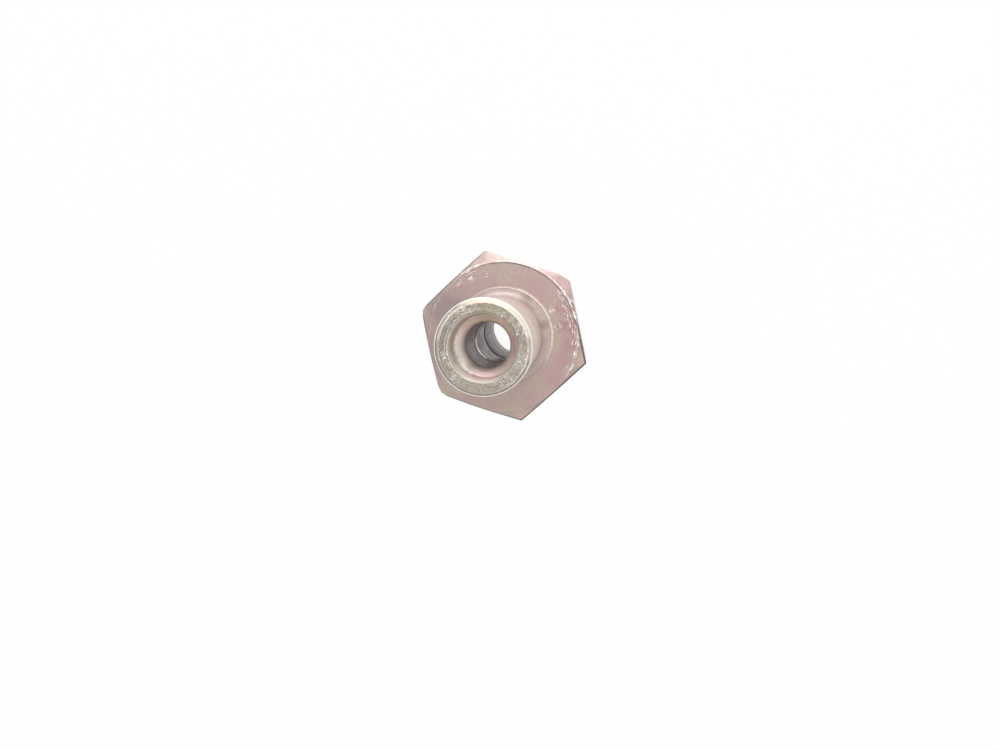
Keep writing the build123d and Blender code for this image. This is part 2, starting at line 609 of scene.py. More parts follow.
def tool_marks_group():
    """Rings that a turning tool leaves, across faces by radius and along walls by height."""
    tree, given = new_group("Tool marks", {"Spacing": 0.1 * MM, "Wander": 0.03 * MM})
    vector = given["Vector"]
    level = vector_sum(vector, (1, 1, 0), "MULTIPLY")
    radius = vector_sum(level, (0, 0, 0), "LENGTH", "Value")
    drift = noise(vector, Scale=500.0, Detail=1.0)
    place = sum_of(radius, parts_of(vector)["Z"])
    place = sum_of(place, times(drift, given["Wander"]))
    turns = sum_of(place, given["Spacing"], "DIVIDE")
    sockets = {"W": turns, "Scale": 1.0, "Detail": 2.0, "Roughness": 0.6}
    ridge = follow("ShaderNodeTexNoise", sockets, noise_dimensions="1D")["Fac"]
    return closed(tree, Mask=stepped(ridge, *MIDDLE_BAND))


def draw_lines_group():
    """Fine lines that drawing the bar left along its length."""
    tree, given = new_group("Draw lines", {"Spacing": 0.2 * MM, "Wander": 0.0})
    laid = vector_sum(given["Vector"], DRAWN_STRETCH, "MULTIPLY")
    wave = noise(given["Vector"], Scale=200.0, Detail=1.0)
    moved = vector_sum(laid, times(wave, given["Wander"]))
    scale = sum_of(1.0, given["Spacing"], "DIVIDE")
    line = noise(moved, Scale=scale, Detail=3.0, Roughness=0.6)
    return closed(tree, Mask=stepped(line, *DRAWN_BAND))


def scratches_group():
    """Fine straight scratches in three directions."""
    tree, given = new_group("Scratches", {"Scale": 700.0, "Cover": 0.3})
    threshold = scaled(given["Cover"], 0.0, 1.0, *SCRATCH_COVER)
    edge = sum_of(threshold, SCRATCH_EDGE)
    mask = 0.0
    for turn, shift in SCRATCH_LAYERS:
        place = {"Vector": given["Vector"], "Location": (shift, shift, 0), "Scale": SCRATCH_STRETCH}
        place["Rotation"] = (0, 0, radians(turn))
        laid = follow("ShaderNodeMapping", place)["Vector"]
        streak = noise(laid, Scale=given["Scale"], Detail=1.0)
        mask = larger(mask, stepped(streak, threshold, edge))
    return closed(tree, Mask=mask)


def dashes_group():
    """Short dashes that run round the axis, as a turning nut picks up."""
    tree, given = new_group("Dashes", {"Length": 0.5 * MM, "Cover": 0.3})
    x, y, z = parts_of(given["Vector"])
    round_axis = times(sum_of(y, x, "ARCTAN2"), DASH_RADIUS)
    across = times(sum_of(diagonal(x, y), z), DASH_STRETCH)
    laid = follow("ShaderNodeCombineXYZ", {"X": round_axis, "Y": across})[0]
    fleck = noise(laid, Scale=sum_of(1.0, given["Length"], "DIVIDE"), Detail=2.0)
    threshold = scaled(given["Cover"], 0.0, 1.0, *DASH_COVER)
    mask = stepped(fleck, threshold, sum_of(threshold, DASH_EDGE))
    low = less(1.0, threshold)
    dark = stepped(fleck, less(low, DASH_EDGE), low, 1.0, 0.0)
    return closed(tree, Mask=mask, Dark=dark)


def knocks_group():
    """Small round knocks of uneven size."""
    tree, given = new_group("Knocks", {"Scale": 1500.0, "Cover": 0.3})
    sockets = {"Vector": given["Vector"], "Scale": given["Scale"]}
    cells = follow("ShaderNodeTexVoronoi", sockets)
    pick = follow("ShaderNodeSeparateColor", {0: cells["Color"]})[0]
    size = times(less(given["Cover"], pick), KNOCK_SIZE)
    return closed(tree, Mask=stepped(less(size, cells["Distance"]), 0.0, KNOCK_EDGE))


def broken_edge_group():
    """Rubbed edges and painted shade in concave corners: the painted amount, broken up by noise."""
    tree, given = new_group("Broken edge", {"Painted": 0.0, "Scale": 1800.0, "Amount": 0.8})
    grain = noise(given["Vector"], Scale=given["Scale"], Detail=3.0)
    level = sum_of(times(given["Painted"], PAINT_WEIGHT), grain)
    mask = stepped(level, *PAINT_BAND)
    return closed(tree, Mask=times(mask, given["Amount"], clamp=True))


def one_side(given):
    """Mask of the side round Bearing, out to Reach, inside a group that has both as inputs."""
    x, y, _ = parts_of(given["Vector"])
    turned = less(sum_of(y, x, "ARCTAN2"), given["Bearing"])
    share = sum_of(turned, operation="COSINE")
    limit = sum_of(given["Reach"], operation="COSINE")
    return stepped(share, less(limit, SIDE_EDGE), limit)


def ring_group():
    """A line round the axis at one radius and height, kept to one side and broken up by noise."""
    place = {"Radius": 5 * MM, "Height": 0.0, "Width": 0.1 * MM}
    tree, given = new_group("Ring", {**place, "Bearing": 0.0, "Reach": pi, "Breaks": 0.5})
    x, y, z = parts_of(given["Vector"])
    out = less(diagonal(x, y), given["Radius"])
    away = diagonal(out, less(z, given["Height"]))
    near = stepped(away, times(given["Width"], RING_CORE), given["Width"], 1.0, 0.0)
    grain = noise(given["Vector"], Scale=2400.0, Detail=2.0)
    gap = sum_of(times(given["Breaks"], GAP_RISE), GAP_LOW)
    whole = stepped(grain, gap, sum_of(gap, GAP_EDGE))
    return closed(tree, Mask=times(times(near, one_side(given)), whole))


def cloud_group():
    """A soft patch round one point, with an uneven border."""
    tree, given = new_group("Cloud", {"Centre": Vector(), "Reach": 2 * MM})
    gap = vector_sum(given["Vector"], given["Centre"], "DISTANCE", "Value")
    share = sum_of(gap, given["Reach"], "DIVIDE")
    grain = noise(given["Vector"], Scale=700.0, Detail=3.0)
    uneven = sum_of(share, times(grain, CLOUD_WAVE))
    return closed(tree, Mask=stepped(uneven, *CLOUD_BAND, 1.0, 0.0))


def hexagon_edge_group():
    """Painted shade: a line along the hexagon's milled edges, on one side of the nut."""
    sockets = {"Half Width": 8.5 * MM, "Line": 0.12 * MM, "Bearing": 0.0, "Reach": pi}
    tree, given = new_group("Hexagon edge", sockets)
    outwards = 0.0
    for bearing in FLAT_BEARINGS[:3]:
        dot = vector_sum(given["Vector"], facing(bearing), "DOT_PRODUCT", "Value")
        outwards = larger(outwards, sum_of(dot, operation="ABSOLUTE"))
    start = less(given["Half Width"], given["Line"])
    near = stepped(outwards, start, sum_of(start, times(given["Line"], 0.5)))
    whole = stepped(noise(given["Vector"], Scale=600.0, Detail=2.0), *MILLED_BAND)
    return closed(tree, Mask=times(times(near, one_side(given)), whole))


SHARED_GROUPS = (
    plating_tint_group, tool_marks_group, draw_lines_group, scratches_group, dashes_group,
    knocks_group, broken_edge_group, ring_group, cloud_group, hexagon_edge_group,
)


def shared_groups():
    """Makes every shared effect once and returns them by name."""
    return {group.name: group for group in (make() for make in SHARED_GROUPS)}


def solid(colour_value):
    """A colour property as a socket value."""
    return (*colour_value, 1.0)


def ring(tint, radius, height, width, bearing, reach, strength, breaks):
    """A line of another tint round the nut: wear, dirt, painted highlights and painted shade;
    lengths in millimetres, angles in degrees.
    """
    sockets = {"Radius": radius * MM, "Height": height * MM, "Width": width * MM, "Breaks": breaks}
    return tint, sockets | {"Bearing": radians(bearing), "Reach": radians(reach)}, strength


def milled_edge(tint, line, bearing, reach, strength):
    """A painted shade line along the hexagon's edges on one side; its width in millimetres, angles
    in degrees.
    """
    sockets = {"Half Width": (NUT_HIGH.y - NUT_LOW.y) / 2, "Line": line * MM}
    return tint, sockets | {"Bearing": radians(bearing), "Reach": radians(reach)}, strength


def cloud(tint, bearing, radius, height, reach, strength):
    """A soft patch of another tint; lengths in millimetres, the bearing in degrees."""
    centre = placed_at(bearing, radius * MM, height * MM)
    return tint, {"Centre": centre, "Reach": reach * MM}, strength


MARK_WANDER = 0.05 * MM
ROUGHNESS_SWING = 0.07
POLISH = 0.12
GRAIN_DEPTH = 0.25
BUMP_HEIGHT = 0.02 * MM


def plated_material(name, groups, finish, look):
    """One plated surface: its tints, tool marks, scratches, knocks, rubbed edges and dirt, and its
    painted highlights and shade.
    """
    material = bpy.data.materials.new(name)
    material.use_nodes = True
    tree = material.node_tree
    shader = tree.nodes["Principled BSDF"]
    shader.inputs["Metallic"].default_value = look["metallic"]
    vector = add_node(tree, "ShaderNodeTexCoord").outputs["Object"]

    def effect(kind, **sockets):
        """Outputs of a shared group with its own values."""
        sockets["Vector"] = vector
        return add_node(tree, "ShaderNodeGroup", sockets, node_tree=groups[kind]).outputs

    def covered(shade, mask, strength, tint):
        """Lays a tint over the shade where the mask is."""
        return blended(times(mask, strength), shade, solid(getattr(finish, tint)))

    def layered(shade, kind, rows):
        """Lays clouds, rings or edges over the shade, in order."""
        for tint, sockets, strength in rows:
            shade = covered(shade, effect(kind, **sockets)["Mask"], strength, tint)
        return shade

    tints = {key.title(): solid(getattr(finish, look[key])) for key in ("main", "rose", "straw")}
    amounts = ("cloud_scale", "rose_amount", "straw_amount", "mottle")
    tints |= {key.replace("_", " ").title(): look[key] for key in amounts}
    shade = layered(effect("Plating tint", **tints)["Color"], "Cloud", look["clouds"])
    marks = effect(look["marks"], Spacing=look["mark_spacing"], Wander=MARK_WANDER)["Mask"]
    scratches = effect("Scratches", Scale=look["scratch_scale"], Cover=look["scratches"])["Mask"]
    dashes = effect("Dashes", Length=look["dash_length"], Cover=look["dashes"])["Mask"]
    knocks = effect("Knocks", Scale=look["knock_scale"], Cover=look["knocks"])["Mask"]
    flecks = effect("Dashes", Length=look["scuff_length"], Cover=look["scuff_cover"])
    patches = 0.0
    for _, sockets, strength in look["scuffs_and_glints"]:
        patches = larger(patches, times(effect("Cloud", **sockets)["Mask"], strength))
    scuffs_and_glints, gouges = times(flecks["Mask"], patches), times(flecks["Dark"], patches)
    edges_worn_and_shaded = []
    for layer, share in (("rubbed", "rub"), ("grimy", "grime")):
        painted = add_node(tree, "ShaderNodeAttribute", attribute_name=layer).outputs["Fac"]
        edges_worn_and_shaded.append(effect("Broken edge", Painted=painted, Amount=look[share])["Mask"])
    rubbed, grimy = edges_worn_and_shaded
    shade = covered(shade, grimy, 1.0, "grime")
    shade = covered(shade, marks, look["mark_shade"], "grime")
    shade = covered(shade, scratches, look["scratch_shine"], "bare")
    shade = covered(shade, dashes, look["dash_shine"], "bare")
    shade = covered(shade, knocks, look["knock_shine"], "bare")
    shade = covered(shade, rubbed, 1.0, "bare")
    shade = layered(shade, "Ring", look["rings"])
    shade = layered(shade, "Hexagon edge", look["edges"])
    shade = covered(shade, gouges, look["gouge_shade"], "grime")
    shade = covered(shade, scuffs_and_glints, 1.0, "bright")
    tree.links.new(shade, shader.inputs["Base Color"])
    cloudy = noise(vector, Scale=900.0, Detail=3.0, Roughness=0.6)
    low, high = look["roughness"] - ROUGHNESS_SWING, look["roughness"] + ROUGHNESS_SWING
    rough = stepped(cloudy, *MIDDLE_BAND, low, high)
    shiny = larger(larger(scratches, dashes), larger(rubbed, scuffs_and_glints))
    rough = less(rough, times(shiny, POLISH), clamp=True)
    tree.links.new(rough, shader.inputs["Roughness"])
    relief = sum_of(times(marks, look["mark_depth"]), times(cloudy, GRAIN_DEPTH))
    masks = {"scratch": scratches, "dash": dashes, "scuff": scuffs_and_glints, "knock": knocks}
    for kind, mask in masks.items():
        relief = less(relief, times(mask, look[f"{kind}_depth"]))
    sockets = {"Height": relief, "Distance": BUMP_HEIGHT, "Strength": look["bump"]}
    tree.links.new(follow("ShaderNodeBump", sockets)["Normal"], shader.inputs["Normal"])
    return material


def rows_of(make, *rows):
    """Clouds, rings or edges from a table with one row for each."""
    return [make(*row) for row in rows]


def scuffed(height, *rows):
    """Patches of scuff flecks at one height, from rows of bearing, radius and reach."""
    return [cloud("bright", bearing, radius, height, reach, 1.0) for bearing, radius, reach in rows]


# The rows of clouds, rings and edges hold their maker's arguments, in order.
PLATED = dict(
    metallic=0.6, roughness=0.45, bump=0.5,
    main="main", rose="rose", straw="straw",
    cloud_scale=230.0, rose_amount=0.5, straw_amount=0.45, mottle=0.09,
    marks="Tool marks", mark_spacing=0.16 * MM, mark_shade=0.06, mark_depth=0.3,
    scratch_scale=1100.0, scratches=0.2, scratch_shine=0.2, scratch_depth=0.4,
    dash_length=0.5 * MM, dashes=0.15, dash_shine=0.25, dash_depth=0.4,
    scuff_length=0.5 * MM, scuff_cover=0.9, scuff_depth=2.0, gouge_shade=0.35,
    knock_scale=1100.0, knocks=0.12, knock_shine=0.3, knock_depth=1.2,
    rub=0.1, grime=0.08,
    clouds=(), rings=(), edges=(), scuffs_and_glints=(),
)
TURNED = PLATED | dict(
    scuffs_and_glints=scuffed(
        24,
        (-6, 8.1, 0.7), (-15, 8.0, 1.0), (-25, 8.0, 1.3), (-35, 8.1, 1.2), (-45, 8.2, 1.0),
        (-55, 8.3, 0.6), (-66, 8.3, 0.6), (-13, 6.2, 0.55), (-31, 6.3, 0.6),
        (64, 7.2, 0.6), (75, 7.8, 0.9), (87, 7.9, 0.6), (114, 8.7, 0.5),
    ),
    # Painted shade: dark lines along the hexagon's edges on the lower right, upper left, right and
    # bottom.
    edges=rows_of(
        milled_edge,
        ("edge_dark", 0.21, 270, 30, 0.9), ("edge_dark", 0.2, 100, 30, 0.7),
        ("edge_dark", 0.26, 305, 11, 0.95), ("edge_dark", 0.18, 215, 35, 0.5),
    ),
    # The darker purplish clouds on the upper left, left and top corner of the front face are
    # painted shade; the others are the plating's own tints.
    clouds=rows_of(
        cloud,
        ("mauve", 152, 8.6, 24, 3.6, 0.7), ("mauve", 114, 7.4, 24, 3.4, 0.8),
        ("rose", 82, 7.2, 24, 2.6, 0.6), ("rose", 14, 6.8, 24, 2.2, 0.8),
        ("rose", 278, 7.4, 24, 3.0, 0.9), ("straw", 238, 8.8, 24, 2.6, 1.0),
        ("straw", 268, 6.6, 24, 1.8, 0.6), ("rose", 196, 8.0, 24, 2.0, 0.8),
        ("straw", 182, 9.2, 23.5, 1.5, 0.9), ("straw", 318, 6.0, 24, 2.2, 0.7),
        ("pink", 357, 9.1, 23.4, 1.6, 0.9), ("mauve", 59, 9.1, 23.5, 1.5, 0.35),
        ("warm", 301, 9.3, 23.4, 1.4, 1.0), ("warm", 242, 9.3, 23.4, 1.4, 1.0),
        ("cream", 186, 7.7, 24, 1.8, 0.9), ("deep_rose", -18, 7.7, 24, 1.6, 0.8),
        ("deep_rose", -33, 7.6, 24, 1.8, 1.0), ("deep_rose", -48, 7.6, 24, 1.7, 0.8),
        ("deep_rose", -62, 7.4, 24, 1.5, 0.5), ("rose", 60, 6.4, 24, 1.6, 0.6),
        ("mauve", 95, 6.6, 24, 1.6, 0.2), ("rose", 252, 7.8, 24, 1.6, 0.6),
        ("deep_rose", -82, 7.4, 24, 1.6, 0.3),
    ),
    # Painted shade and highlight along the front face's rim on the upper right: a dark line inside
    # it and a pale band outside it; the pale root ring on the upper side and right is a painted
    # highlight on a real raised ring.
    rings=rows_of(
        ring,
        ("grime", 8.22, 24, 0.12, 14, 46, 0.85, 0.2),
        ("bright", 8.42, 23.96, 0.13, 6, 74, 0.85, 0.55),
        ("bare", 5.46, 24.03, 0.18, 45, 110, 0.45, 0.1),
        ("bare", 5.5, 24.0, 0.32, -12, 38, 0.45, 0.3),
    ),
)
END = PLATED | dict(
    roughness=0.42, bump=0.8,
    main="end_main", rose="end_grey", straw="end_olive",
    cloud_scale=420.0, mottle=0.38,
    mark_spacing=0.14 * MM, mark_shade=0.35, mark_depth=1.0,
    scratches=0.4, scratch_shine=0.5,
    dashes=0.5, dash_shine=0.5, dash_depth=1.0, dash_length=0.35 * MM,
    scuff_length=0.4 * MM, scuff_cover=0.85, gouge_shade=0.4,
    knocks=0.3, knock_shine=0.6,
    rub=0.0, grime=0.2,
    scuffs_and_glints=scuffed(
        42.4,
        (73, 3.8, 1.2), (95, 3.8, 1.0), (150, 3.5, 1.1), (185, 3.9, 0.9),
        (265, 3.6, 0.9), (300, 3.7, 1.0), (340, 3.7, 0.8), (20, 3.3, 0.6),
    ),
    clouds=rows_of(
        cloud,
        ("end_dark", 105, 3.6, 42.4, 1.7, 0.7), ("end_dark", 142, 3.7, 42.4, 1.6, 0.8),
        ("end_dark", -28, 3.3, 42.4, 0.8, 0.5), ("end_olive", 32, 3.6, 42.4, 1.6, 0.9),
        ("end_olive", 205, 3.5, 42.4, 1.4, 0.7), ("end_lilac", 298, 3.5, 42.4, 1.2, 0.9),
    ),
    # Dark and pale lines round the end face on given sides; the pale lines along the mouth's edge
    # on the left and bottom are painted highlights.
    rings=rows_of(
        ring,
        ("grime", 3.84, 42.4, 0.06, 10, 80, 0.6, 0.7),
        ("grime", 3.55, 42.4, 0.07, 150, 60, 0.6, 0.6),
        ("bare", 3.4, 42.4, 0.07, 130, 50, 0.7, 0.6),
        ("bare", 3.1, 42.4, 0.13, 190, 110, 1.0, 0.1),
        ("bright", 3.12, 42.4, 0.11, 150, 50, 1.0, 0.3),
        ("grime", 3.2, 42.4, 0.06, 30, 100, 0.5, 0.5),
    ),
)
BEVEL = END | dict(
    bump=0.5,
    main="bevel_main", rose="bevel_main", straw="end_main",
    straw_amount=0.4, mottle=0.12,
    scratches=0.3, dashes=0.35, knocks=0.1, grime=0.05,
    scuff_cover=0.7, gouge_shade=0.15,
    clouds=(),
    # Painted light and shade on the bevel: pale on the upper side where the key lamp falls, a
    # painted highlight all round its outer edge and painted shade just inside it on the left and
    # bottom; the thin lines near 3.9 to 4.0 mm are tints on given sides.
    rings=rows_of(
        ring,
        ("bevel_cream", 4.14, 42.3, 0.6, 50, 75, 0.8, 0.0),
        ("end_olive", 3.93, 42.38, 0.1, 30, 60, 0.6, 0.6),
        ("grime", 4.22, 42.28, 0.13, 190, 110, 0.6, 0.2),
        ("bright", 4.38, 42.2, 0.13, 0, 180, 0.9, 0.0),
        ("grime", 3.89, 42.39, 0.05, 10, 75, 0.5, 0.75),
        ("bright", 4.0, 42.36, 0.07, -40, 60, 0.7, 0.5),
    ),
)
STEP = PLATED | dict(
    metallic=0.3,
    main="step_main", rose="step_rose", straw="step_straw",
    mottle=0.16, mark_shade=0.1, knocks=0.2, rub=0.3, grime=0.1,
    scuff_length=0.35 * MM, scuff_cover=0.85, gouge_shade=0.6,
    # The scuff flecks here are painted glints on the lit left side of the counterbore.
    scuffs_and_glints=rows_of(
        cloud,
        ("bright", 128, 2.95, 40.9, 1.5, 0.9), ("bright", 158, 2.9, 40.3, 1.3, 1.1),
        ("bright", 190, 2.9, 40.2, 1.0, 0.6),
    ),
    # The pale cream clouds and the bright one are painted light on the floor's left side, where the
    # key lamp falls; the others are tints of the floor.
    clouds=rows_of(
        cloud,
        ("step_rose", 225, 2.6, 39.6, 1.7, 1.0), ("step_cream", 138, 2.5, 39.5, 1.5, 1.0),
        ("bright", 160, 2.4, 39.3, 1.2, 0.9), ("step_tan", 192, 2.6, 39.5, 1.0, 0.7),
        ("step_cream", 137, 2.3, 39.3, 0.9, 0.7), ("step_tan", 50, 2.6, 39.6, 1.8, 0.9),
        ("step_brown", 318, 2.6, 39.6, 1.9, 0.9),
    ),
    # Painted light and shade: the bottom wall lit pale, painted highlights along the floor's outer
    # corner on the left and lower left, painted shade on the upper-left wall where the key lamp
    # doesn't reach, and painted shade where the lip turns into the throat.
    rings=rows_of(
        ring,
        ("step_cream", 3.0, 41.3, 1.3, 225, 50, 0.9, 0.0),
        ("step_cream", 2.75, 39.75, 0.42, 138, 36, 1.0, 0.5),
        ("bright", 2.8, 39.8, 0.3, 138, 36, 0.8, 0.85),
        ("bare", 2.85, 39.8, 0.2, 200, 40, 0.8, 0.5),
        ("grime", 3.0, 41.2, 1.4, 104, 44, 0.5, 0.7),
        ("step_dark", 3.0, 40.9, 1.5, 98, 44, 0.95, 0.15),
        ("bright", 2.92, 39.88, 0.36, 160, 34, 1.0, 0.4),
        ("throat_dark", 2.15, 37.3, 1.5, 0, 180, 0.95, 0.0),
        ("throat_dark", 2.15, 38.9, 1.5, 235, 42, 0.7, 0.0),
    ),
)
SIDE = PLATED | dict(
    main="side_main", rose="side_rose", straw="side_straw",
    mottle=0.07, mark_spacing=0.3 * MM, mark_shade=0.08,
    # Brown spots and a lilac side near the root; the pale cloud high on the right is a painted
    # highlight.
    clouds=rows_of(
        cloud,
        ("root_brown", -22, 4.4, 26.5, 1.6, 0.6), ("root_brown", -34, 4.4, 29.5, 1.3, 0.4),
        ("root_brown", -44, 4.4, 26.0, 1.4, 0.45), ("root_brown", -14, 4.4, 32.5, 1.3, 0.3),
        ("root_brown", 6, 4.4, 27.5, 1.4, 0.4), ("root_lilac", 40, 4.4, 28.0, 3.0, 0.4),
        ("bevel_cream", -30, 4.4, 37.5, 2.5, 0.5),
    ),
)
ROOT = SIDE | dict(
    metallic=0.3,
    main="root_main", rose="root_rose", straw="root_main",
    mottle=0.14, rub=0.0, grime=0.0,
    clouds=rows_of(
        cloud,
        ("root_brown", -26, 4.9, 24.3, 0.9, 0.8), ("root_brown", -48, 4.7, 24.5, 0.8, 0.2),
        ("root_brown", 4, 4.7, 24.5, 1.0, 0.6), ("root_brown", 15, 4.9, 24.15, 1.1, 0.9),
        ("root_lilac", 60, 4.8, 24.4, 1.6, 0.6),
    ),
)
BORE = PLATED | dict(
    metallic=1.0, roughness=0.37, bump=0.4,
    main="bore", rose="bore_mauve", straw="bore",
    mottle=0.06, mark_spacing=0.5 * MM, mark_shade=0.04, mark_depth=0.8,
    scratches=0.1, dashes=0.1, knocks=0.0, rub=0.3, grime=0.0,
    # Painted light and shade in the bores: the rear bore darkened with soft shaded bands, the
    # relief groove lightened against its own shadow, the throat darker on the left, and the
    # throat's step darkened all round but for a painted glint on the lower left.
    rings=rows_of(
        ring,
        ("bore_dark", 3.4, 17.2, 9.0, 0, 180, 1.0, 0.0),
        ("bore", 4.15, 12.7, 1.0, 0, 180, 1.0, 0.0),
        ("bore_dark", 3.4, 9.2, 1.1, 0, 180, 0.35, 0.0),
        ("bore_dark", 3.4, 5.4, 1.1, 0, 180, 0.25, 0.0),
        ("bore_dark", 2.15, 34.0, 7.0, 125, 75, 0.15, 0.0),
        ("grime", 2.12, 31.0, 0.25, 346, 140, 0.75, 0.0),
        ("bright", 2.12, 31.0, 0.25, 166, 24, 1.0, 0.0),
    ),
)
FLATS = PLATED | dict(
    roughness=0.42,
    main="flat_main", rose="flat_rose", straw="flat_main",
    cloud_scale=120.0, rose_amount=0.6, mottle=0.04,
    marks="Draw lines", mark_spacing=0.35 * MM, mark_shade=0.14, mark_depth=0.8,
    scratches=0.3, scratch_shine=0.25, dashes=0.0, knocks=0.06, rub=0.5, grime=0.0,
)
LOOKS = {
    "plated_turned": TURNED, "plated_end": END, "plated_bevel": BEVEL, "plated_root": ROOT,
    "plated_step": STEP, "plated_side": SIDE, "plated_bore": BORE, "plated_flats": FLATS,
}


CREASE = radians(7)
WALL_SLACK = 0.02 * MM
GROOVE_SLACK = 0.2 * MM
BELOW_FACE = 0.99
UPRIGHT = 0.4
END_SLACK = 0.01 * MM
BEVEL_DEPTH = 0.3 * MM
ROOT_SHARE = 0.8


def surface_of(face, size):
    """Name of the finish that a face of the nut takes, told by its place."""
    centre = face.calc_center_median()
    radius = centre.xy.length
    if radius < size.counterbore_radius + WALL_SLACK and centre.z > 0:
        return "plated_step" if centre.z > THROAT_EDGE else "plated_bore"
    lead_in = size.lead_in_radius - size.bore_radius
    below_face = lead_in < centre.z < size.hex_height * BELOW_FACE
    if below_face and radius < size.relief_radius + GROOVE_SLACK:
        return "plated_bore"
    if radius > size.back_face_radius and abs(face.normal.z) < UPRIGHT:
        return "plated_flats"
    if centre.z > size.total_height - END_SLACK:
        return "plated_end"
    if centre.z > size.total_height - BEVEL_DEPTH:
        return "plated_bevel"
    if centre.z > size.hex_height + size.root_fillet * ROOT_SHARE:
        return "plated_side"
    if radius < size.root_ring_radius - RING_HALF:
        return "plated_root"
    return "plated_turned"


def paint_edges(mesh):
    """Paints where edges stand out, to be rubbed bright, and where concave corners take painted
    shade.
    """
    rubbed = mesh.verts.layers.float.new("rubbed")
    grimy = mesh.verts.layers.float.new("grimy")
    for edge in mesh.edges:
        bend = edge.calc_face_angle_signed(0.0)
        beside_flat = any(face.calc_area() > FLAT_AREA for face in edge.link_faces)
        if abs(bend) > CREASE and not beside_flat:
            layer = rubbed if bend > 0 else grimy
            for vertex in edge.verts:
                vertex[layer] = 1.0


def finish_nut(skin, size, finish):
    """Gives every face of the nut its plated surface."""
    groups = shared_groups()
    skin.data.materials.clear()
    for name, look in LOOKS.items():
        skin.data.materials.append(plated_material(name, groups, finish, look))
    order = {name: index for index, name in enumerate(LOOKS)}
    mesh = bmesh.new()
    mesh.from_mesh(skin.data)
    paint_edges(mesh)
    for face in mesh.faces:
        face.material_index = order[surface_of(face, size)]
    mesh.to_mesh(skin.data)
    mesh.free()


TINTS = {
    "main": ("Plain tint of the plating", 0.52, 0.41, 0.37),
    "rose": ("Pinker clouds of the plating", 0.52, 0.36, 0.35),
    "straw": ("Yellower clouds of the plating", 0.52, 0.43, 0.35),
    # Painted shade: darker clouds on the front face's upper left and left, and over its top corner.
    "mauve": ("Darker tarnish on one side", 0.36, 0.275, 0.275),
    "pink": ("Pink corner", 0.62, 0.395, 0.40),
    "cream": ("Pale corner", 0.53, 0.44, 0.38),
    "warm": ("Warmer pale corners", 0.64, 0.46, 0.39),
    "end_main": ("Scratched end of the spigot", 0.46, 0.40, 0.33),
    "end_grey": ("Greyer clouds of the end face", 0.42, 0.38, 0.34),
    "end_olive": ("Greener clouds of the end face", 0.44, 0.40, 0.28),
    "end_lilac": ("Bluer patch of the end face", 0.54, 0.49, 0.48),
    "end_dark": ("Darkest side of the end face", 0.33, 0.29, 0.25),
    "bevel_main": ("Bevel of the spigot's end", 0.54, 0.48, 0.41),
    # Painted highlight on the lit side of the end bevel and high on the spigot's right side.
    "bevel_cream": ("Palest side of that bevel", 0.76, 0.68, 0.56),
    # Paler than the front face: a painted sheen for the side, which is seen at a grazing angle.
    "side_main": ("Side of the spigot", 0.66, 0.54, 0.48),
    "side_rose": ("Pinker clouds of the side", 0.62, 0.47, 0.44),
    "side_straw": ("Yellower clouds of the side", 0.66, 0.56, 0.45),
    "root_main": ("Fillet at the spigot's root", 0.50, 0.41, 0.37),
    "root_rose": ("Pinker clouds of the root", 0.52, 0.40, 0.38),
    "root_brown": ("Brown spots on side and root", 0.34, 0.26, 0.22),
    "root_lilac": ("Lilac side of the root", 0.56, 0.47, 0.47),
    "step_main": ("Counterbore wall and floor", 0.74, 0.62, 0.52),
    "step_rose": ("Pinker clouds of the counterbore", 0.82, 0.53, 0.54),
    "step_straw": ("Yellower clouds of the counterbore", 0.72, 0.62, 0.48),
    # Painted light on the lit lower-left side of the counterbore.
    "step_cream": ("Palest part of the counterbore", 0.94, 0.86, 0.76),
    # Painted shade on the counterbore wall's upper left, where the key lamp doesn't reach.
    "step_dark": ("Stained side of the counterbore wall", 0.54, 0.48, 0.42),
    "step_tan": ("Browner floor of the counterbore", 0.55, 0.46, 0.38),
    "step_brown": ("Red brown floor of the counterbore", 0.62, 0.43, 0.42),
    # Pale, so that the bores show light that would come in through the back opening: painted light.
    "bore": ("Inside of the bores", 1.0, 0.91, 0.92),
    "bore_mauve": ("Mauve bands of the bores", 0.80, 0.72, 0.75),
    "bore_dark": ("Shaded rings of the bores", 0.13, 0.09, 0.095),
    # Painted shade where the lip turns into the throat.
    "throat_dark": ("Where the throat's wall turns dark", 0.42, 0.37, 0.38),
    "deep_rose": ("Reddest clouds of the front face", 0.46, 0.275, 0.275),
    # Painted shade along the hexagon's edges.
    "edge_dark": ("Dark line on the hexagon's edges", 0.14, 0.12, 0.11),
    "flat_main": ("Drawn flats of the hexagon", 0.43, 0.35, 0.31),
    "flat_rose": ("Pinker clouds of the flats", 0.42, 0.31, 0.29),
    # Also painted highlights on lines round the nut.
    "bare": ("Rubbed edges and scratches", 0.86, 0.78, 0.68),
    # Also painted highlights and glints on the front face, bevel, counterbore and bore.
    "bright": ("Fresh bright scuffs", 0.98, 0.95, 0.91),
    # Also painted shade in concave corners and in dark lines round the nut, besides dirt and tool
    # marks.
    "grime": ("Dirt held in the corners", 0.17, 0.13, 0.12),
}


class NutFinish(bpy.types.PropertyGroup):
    """Colours of the plated nut."""

    __annotations__ = {
        name: colour(name.replace("_", " ").capitalize(), *row) for name, row in TINTS.items()
    }


